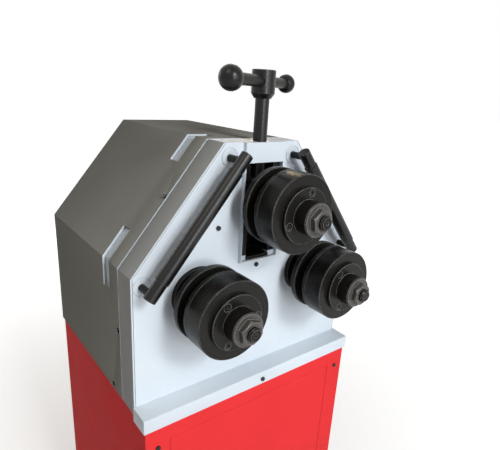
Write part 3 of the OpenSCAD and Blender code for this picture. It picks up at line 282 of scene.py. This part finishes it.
# Black screws, nuts and turned steel, each with a light edge colour that is wear and also a painted
# highlight on rims and chamfers
SCREW_BLACK = (0.004, 0.0039, 0.0038)
SCREW_WEAR_AND_HIGHLIGHT = (0.35, 0.34, 0.33)
NUT_BLACK = (0.062, 0.059, 0.056)
NUT_WEAR_AND_HIGHLIGHT = (0.55, 0.54, 0.53)
EDGE_WEAR_AND_HIGHLIGHT = (0.50, 0.49, 0.48)
STEEL = (0.56, 0.55, 0.53)
STEEL_WORN = (0.75, 0.74, 0.72)
BRONZE = (0.56, 0.36, 0.15)
BRONZE_WORN = (0.75, 0.55, 0.28)
PLASTIC = (0.02, 0.02, 0.021)
PLASTIC_RUBBED = (0.08, 0.08, 0.08)
STOP_RED = (0.70, 0.02, 0.015)
STOP_RUBBED = (0.8, 0.1, 0.08)
YELLOW = (0.85, 0.55, 0.02)
YELLOW_RUBBED = (0.9, 0.7, 0.2)

red = paint("red_powder", RED, 0.5, 700, 0.00004, 0.5, RED_RUBBED, shine=0.02)
light = paint("light_powder", LIGHT, 0.45, 650, 0.00003, 0.35, LIGHT_RUBBED)
cover = paint("cover_powder", COVER, 0.55, 1200, 0.00006, 0.45, COVER_RUBBED, shine=0.0)
band = paint("band_powder", BAND, 0.55, 1200, 0.00006, 0.45, BAND_RUBBED, shine=0.03)
frame_black = paint("frame_powder", FRAME_BLACK, 0.5, 900, 0.00008, 0.5, PRIMER)
casting = paint("casting_paint", CASTING, 0.45, 260, 0.0003, 0.4, PRIMER)
plastic = paint("switch_plastic", PLASTIC, 0.45, 2200, 0.00004, 0.2, PLASTIC_RUBBED)
stop_red = paint("stop_plastic", STOP_RED, 0.25, 300, 0.00001, 0.1, STOP_RUBBED, shine=0.5)
yellow = paint("collar_plastic", YELLOW, 0.35, 900, 0.00002, 0.1, YELLOW_RUBBED)

ALONG_Z = (0, 0, 1)
BAR_TURN = math.radians(34)
bar_axis = (math.cos(BAR_TURN), math.sin(BAR_TURN), 0)
black_rods = machined(
    "black_turned_rods", OILED, 0.32, EDGE_WEAR_AND_HIGHLIGHT, 0.3, middle("right_guide_sleeve"),
    joint_axis["right_sleeve_turn"], mirrored=True, shine=0.30, line_depth=0.000004, grain_depth=0.000006,
)
black_screw = machined(
    "black_turned_screw", OILED, 0.32, EDGE_WEAR_AND_HIGHLIGHT, 0.3, middle("feed_screw"), ALONG_Z,
    shine=0.30, line_depth=0.000003, grain_depth=0.000006,
)
black_bar = machined("black_turned_bar", BLACK, 0.34, EDGE_WEAR_AND_HIGHLIGHT, 0.3, middle("handle_bar"), bar_axis, shine=0.03)
black_plain = machined("black_ground", BLACK, 0.38, EDGE_WEAR_AND_HIGHLIGHT, 0.4)
# Nut chamfers get a strong light edge colour: wear and a painted highlight
black_nuts = machined("black_milled", NUT_BLACK, 0.28, NUT_WEAR_AND_HIGHLIGHT, 0.8, shine=0.30)
black_screws = machined("black_screws", SCREW_BLACK, 0.25, SCREW_WEAR_AND_HIGHLIGHT, 0.5, shine=0.25)
bright = machined("bright_ground", STEEL, 0.30, STEEL_WORN, 0.3, metallic=1.0)
bronze = machined("bronze_turned", BRONZE, 0.32, BRONZE_WORN, 0.3, metallic=1.0)
phenolic = machined(
    "phenolic_ball", PHENOLIC, 0.34, PHENOLIC_RUBBED, 0.2,
    shine=0.24, line_depth=0.000001, grain_depth=0.000004,
)

looks = {
    red: ["stand_shell", "service_panel", "stand_door"],
    light: ["front_step", "front_plate", "gear_case", "rear_plate", "slide_channel", "nut_bridge"],
    cover: ["hood", "control_box"],
    band: ["side_bands"],
    frame_black: ["base_frame", "carrier_plate"],
    casting: ["reducer", "motor"],
    black_rods: ["guide_rods", "left_guide_sleeve", "right_guide_sleeve"],
    black_screw: ["feed_screw", "screw_hub"],
    black_bar: ["handle_bar"],
    black_plain: ["guide_rails", "guide_posts", "bearing_caps", "slide_block"],
    black_screws: ["fasteners"],
    black_nuts: [],
    bright: ["feed_nut", "door_hinges", "bearings", "slide_caps", "left_gear", "right_gear", "drive_pinion"],
    bronze: ["upper_bush"],
    phenolic: ["ball_knobs"],
    plastic: ["door_latch", "direction_switch"],
    stop_red: ["stop_button"],
}
for side in ("left", "right", "upper"):
    # Roller rims and chamfers get a strong light edge colour: wear and a painted rim highlight
    turned = machined(f"black_turned_{side}", BLACK, 0.30, EDGE_WEAR_AND_HIGHLIGHT, 0.75, middle(f"{side}_wheel"))
    looks[turned] = [f"{side}_{part}" for part in ("shaft", "discs", "spacer", "wheel", "clamp_hub")]
    looks[black_nuts].append(f"{side}_nut")
    looks[black_screws].append(f"{side}_hub_screws")
look_of_node = {node: material for material, dressed in looks.items() for node in dressed}


def dress(obj, material):
    """Give an object one material."""
    obj.data.materials.clear()
    obj.data.materials.append(material)


for name, obj in nodes.items():
    dress(obj, look_of_node[name])


def piece(name, mesh, body, material):
    """A piece of the scene's own, which rides a body."""
    obj = bpy.data.objects.new(name, mesh)
    bpy.context.scene.collection.objects.link(obj)
    dress(obj, material)
    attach(obj, body)
    return obj


# What counts as one point in metres, as one flat face, and as an edge between faces
SAME_POINT = 1e-6
SAME_FACE = math.radians(0.6)
SHARP = math.radians(35)


def soften(node, width):
    """A copy of the CAD node with rounded edges, in its place."""
    form = bmesh.new()
    form.from_mesh(nodes[node].data)
    bmesh.ops.remove_doubles(form, verts=form.verts, dist=SAME_POINT)
    bmesh.ops.dissolve_limit(form, angle_limit=SAME_FACE, verts=form.verts, edges=form.edges)
    mesh = bpy.data.meshes.new(node + "_form")
    form.to_mesh(mesh)
    form.free()
    obj = piece(node + "_form", mesh, body_of_node[node], look_of_node[node])
    mesh.shade_smooth()
    bevel = obj.modifiers.new("edges", "BEVEL")
    bevel.width = width
    bevel.segments = 3
    bevel.limit_method = "ANGLE"
    bevel.angle_limit = SHARP
    bevel.harden_normals = True
    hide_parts(node)
    return obj


SOFT_EDGES = {
    "hood": 0.0012, "side_bands": 0.0010, "front_step": 0.0012, "service_panel": 0.0006,
    "control_box": 0.0008,
}
soft = {node: soften(node, width) for node, width in SOFT_EDGES.items()}

# The covers' cut edges that face the front, also the rear edge of each slot, take the light paint: a painted
# highlight where the front lamps catch these edges
FACES_FRONT = -0.9
for node in ("hood", "side_bands"):
    mesh = soft[node].data
    mesh.materials.append(light)
    for face in mesh.polygons:
        if face.normal.y < FACES_FRONT:
            face.material_index = 1


def ring_mesh(name, inner, outer, thick, chamfer, sides=64):
    """A flat ring about +X, from x = 0 to x = thick, with chamfers on its outer face."""
    profile = [
        (0.0, inner), (0.0, outer), (thick - chamfer, outer), (thick, outer - chamfer),
        (thick, inner + chamfer), (thick - chamfer, inner),
    ]
    form = bmesh.new()
    rows = []
    for i in range(sides):
        a = 2 * math.pi * i / sides
        rows.append([form.verts.new((x, r * math.cos(a), r * math.sin(a))) for x, r in profile])
    for i, row in enumerate(rows):
        after = rows[(i + 1) % sides]
        for k in range(len(profile)):
            n = (k + 1) % len(profile)
            form.faces.new((row[k], after[k], after[n], row[n]))
    bmesh.ops.recalc_face_normals(form, faces=form.faces)
    mesh = bpy.data.meshes.new(name)
    form.to_mesh(mesh)
    form.free()
    mesh.shade_smooth()
    mesh.set_sharp_from_angle(angle=SHARP)
    return mesh


# Yellow collar under the stop button, thin enough to stay clear of the pressed button
COLLAR_INNER, COLLAR_OUTER = 0.0085, 0.024
COLLAR_THICK, COLLAR_CHAMFER = 0.0016, 0.0004
collar = ring_mesh("stop_collar", COLLAR_INNER, COLLAR_OUTER, COLLAR_THICK, COLLAR_CHAMFER)
stop_middle = middle("stop_button")
collar.transform(Matrix.Translation((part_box("control_box")[1].x, stop_middle.y, stop_middle.z)))
piece("stop_collar", collar, "root", yellow)

# Floor, which glows towards the camera, less near the object, so that it keeps the shadow and ends in white
FLOOR_HALF = 30
FLOOR_DROP = 0.0005
FLOOR_COLOUR, WHITE = (0.80, 0.80, 0.80, 1), (1, 1, 1, 1)
GLOW_NEAR_AT, GLOW_FAR_AT = 0.5, 2.6
GLOW_NEAR, GLOW_FAR = 0.50, 1.0
floor_form = bmesh.new()
bmesh.ops.create_grid(floor_form, x_segments=1, y_segments=1, size=FLOOR_HALF)
floor_mesh = bpy.data.meshes.new("floor")
floor_form.to_mesh(floor_mesh)
floor_form.free()
floor = bpy.data.objects.new("floor", floor_mesh)
floor.location.z = -FLOOR_DROP
bpy.context.scene.collection.objects.link(floor)

ground = Shader("floor_surface")
ground.put(ground.bsdf.inputs["Base Color"], FLOOR_COLOUR)
ground.put(ground.bsdf.inputs["Roughness"], 0.9)
ground.put(ground.bsdf.inputs["Specular IOR Level"], 0.1)
seen = ground.add("ShaderNodeLightPath")
shown = ground.math("MAXIMUM", seen.outputs["Is Camera Ray"], seen.outputs["Is Glossy Ray"])
glow = ground.add("ShaderNodeEmission")
ground.put(glow.inputs["Color"], WHITE)
away = ground.vector("LENGTH", ground.place)
fade = ground.spread(away, GLOW_NEAR_AT, GLOW_FAR_AT, GLOW_NEAR, GLOW_FAR)
ground.put(glow.inputs["Strength"], ground.math("MULTIPLY", shown, fade))
both = ground.add("ShaderNodeAddShader")
ground.put(both.inputs[0], ground.bsdf.outputs[0])
ground.put(both.inputs[1], glow.outputs[0])
ground.put(ground.tree.nodes["Material Output"].inputs[0], both.outputs[0])
dress(floor, ground.material)

# World: white to the camera, in reflections and through glass, and faint as a lamp
WORLD_LIGHT, WORLD_SHOWN = 0.03, 1.0
world = bpy.data.worlds.new("studio")
bpy.context.scene.world = world
world.use_nodes = True
tree = world.node_tree
tree.nodes.clear()
path = tree.nodes.new("ShaderNodeLightPath")
shown = path.outputs["Is Camera Ray"]
for ray in ("Is Glossy Ray", "Is Transmission Ray"):
    either = tree.nodes.new("ShaderNodeMath")
    either.operation = "MAXIMUM"
    tree.links.new(shown, either.inputs[0])
    tree.links.new(path.outputs[ray], either.inputs[1])
    shown = either.outputs[0]
strength = tree.nodes.new("ShaderNodeMapRange")
strength.inputs["To Min"].default_value = WORLD_LIGHT
strength.inputs["To Max"].default_value = WORLD_SHOWN
tree.links.new(shown, strength.inputs["Value"])
background = tree.nodes.new("ShaderNodeBackground")
background.inputs["Color"].default_value = WHITE
tree.links.new(strength.outputs[0], background.inputs["Strength"])
tree.links.new(background.outputs[0], tree.nodes.new("ShaderNodeOutputWorld").inputs[0])


def softbox(name, at, aim, size, power, colour=(1, 1, 1)):
    """A rectangular lamp that faces a point."""
    data = bpy.data.lights.new(name, "AREA")
    data.shape = "RECTANGLE"
    data.size, data.size_y = size
    data.energy = power
    data.color = colour
    obj = bpy.data.objects.new(name, data)
    obj.location = at
    obj.rotation_euler = (Vector(aim) - Vector(at)).to_track_quat("-Z", "Y").to_euler()
    bpy.context.scene.collection.objects.link(obj)


# Lamps, which face the head or, from behind, the cabinet
AIM, AIM_LOW = (0, 0, 0.9), (0, 0, 0.7)
COOL, WARM, AMBER = (0.95, 0.985, 1.0), (1.0, 0.95, 0.86), (1.0, 0.72, 0.35)
softbox("key", (-0.1, -2.8, 2.5), AIM, (0.8, 0.8), 42, COOL)
softbox("spark", (-0.1, -2.78, 2.48), AIM, (0.2, 0.2), 7, COOL)
softbox("front", (0.3, -3.0, 1.5), AIM, (2.4, 1.8), 30, COOL)
softbox("strip", (-0.25, -2.98, 1.35), AIM, (0.22, 0.8), 14, COOL)
softbox("fill", (-1.55, -0.8, 3.05), AIM, (1.2, 1.2), 15, WARM)
softbox("edge", (-1.2, 2.8, 1.9), AIM, (0.8, 0.8), 7, WARM)
softbox("sun", (1.7, 2.1, 2.2), AIM, (0.25, 0.25), 4, AMBER)
softbox("rear", (1.0, 2.8, 1.0), AIM_LOW, (2.0, 1.6), 13)
